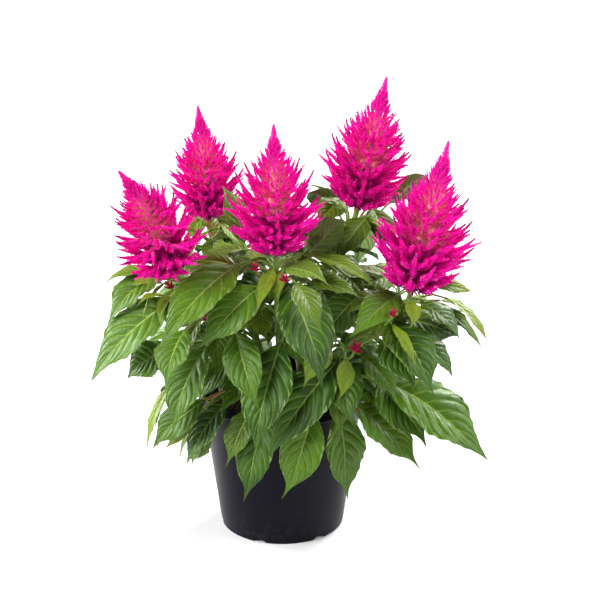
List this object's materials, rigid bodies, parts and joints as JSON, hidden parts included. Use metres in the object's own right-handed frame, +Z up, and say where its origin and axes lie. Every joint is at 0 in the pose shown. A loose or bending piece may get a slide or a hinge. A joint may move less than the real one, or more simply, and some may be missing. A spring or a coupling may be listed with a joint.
{
  "type": "plume celosia in its pot",
  "caption": "Bushy plume celosia in its round black nursery pot: leafy stems that each carry a feathery magenta plume over drooping pointed leaves.",
  "frame": {"origin": "on the surface that the pot stands on, under the middle of the plant's outline as seen from above; the middle of the pot's base is at x -7 mm, y -10 mm", "axes": "+Z up along the pot's axis; the plant's front faces -Y and +X is to its right as seen from the front"},
  "size_m": [0.272, 0.208, 0.319],
  "materials": {
    "pot_plastic": "satin",
    "peat": "rough",
    "foliage": "semi-gloss",
    "plume": "matte",
    "side_bud": "matte"
  },
  "bodies": {
    "root": {"pot": "pot_plastic", "soil": "peat", "leafy_stem_left": "foliage", "leafy_stem_back_left": "foliage", "leafy_stem_centre": "foliage", "leafy_stem_back_right": "foliage", "leafy_stem_right": "foliage", "plume_left": "plume", "plume_back_left": "plume", "plume_centre": "plume", "plume_back_right": "plume", "plume_right": "plume", "side_bud_1": "side_bud", "side_bud_2": "side_bud", "side_bud_3": "side_bud", "side_bud_4": "side_bud", "side_bud_5": "side_bud", "side_bud_6": "side_bud", "side_bud_7": "side_bud", "side_bud_8": "side_bud"}
  },
  "joints": []
}
